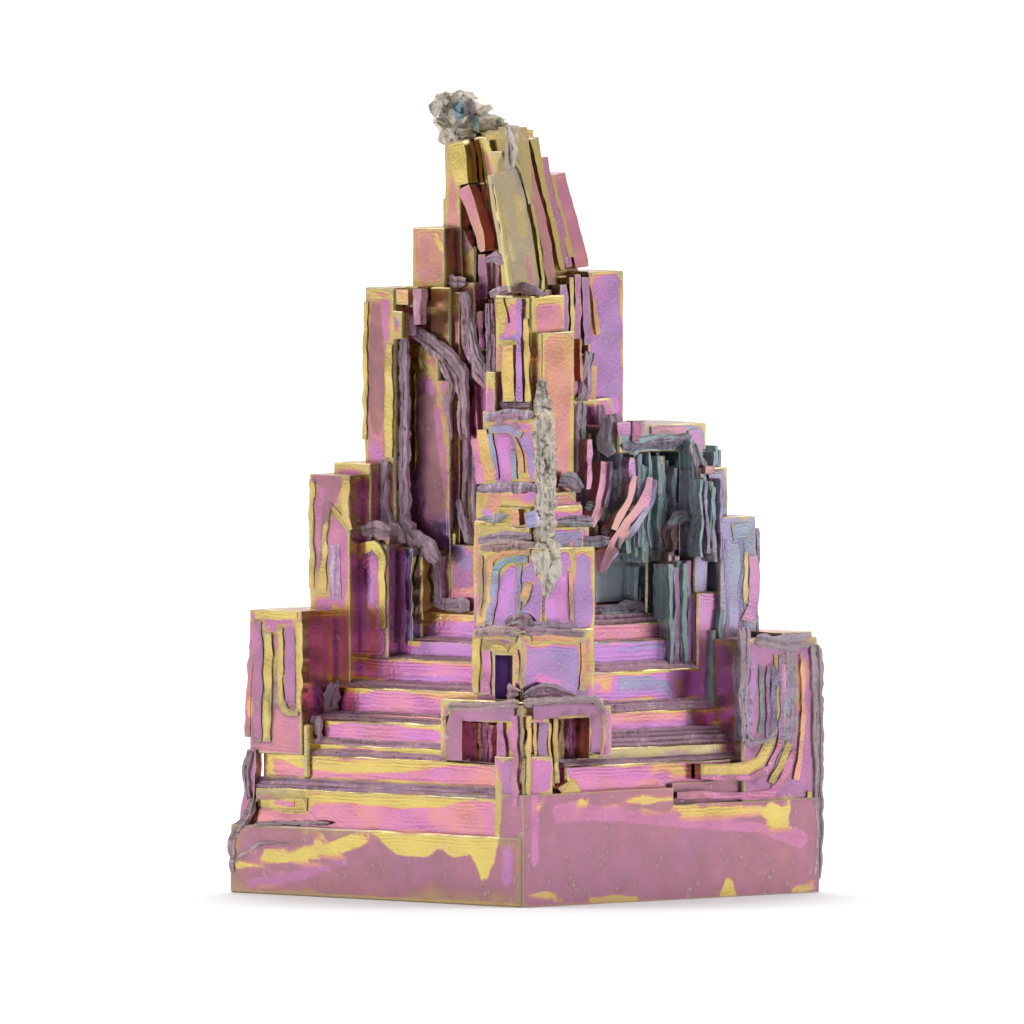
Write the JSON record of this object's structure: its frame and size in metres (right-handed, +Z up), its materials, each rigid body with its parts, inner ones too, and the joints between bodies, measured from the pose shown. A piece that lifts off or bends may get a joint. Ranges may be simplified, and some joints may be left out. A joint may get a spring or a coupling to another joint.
{
  "type": "bismuth hopper crystal",
  "caption": "Stepped spire of oxidised bismuth: a hopper crystal with corner arms and terraced valleys, grown as one piece that stands on its flat foot.",
  "frame": {"origin": "centre of the bounding box on the plane that the crystal stands on", "axes": "+Z up the spire; -Y towards the foot's front corner, the edge between the two shown faces; +X to the viewer's right"},
  "size_m": [0.0442, 0.0442, 0.06],
  "materials": {
    "oxidised_bismuth": "mirror-like metal under an iridescent oxide film of yellow, pink, purple and blue, with rough silvery crests"
  },
  "bodies": {
    "root": {"bismuth_crystal": "oxidised_bismuth"}
  },
  "joints": []
}
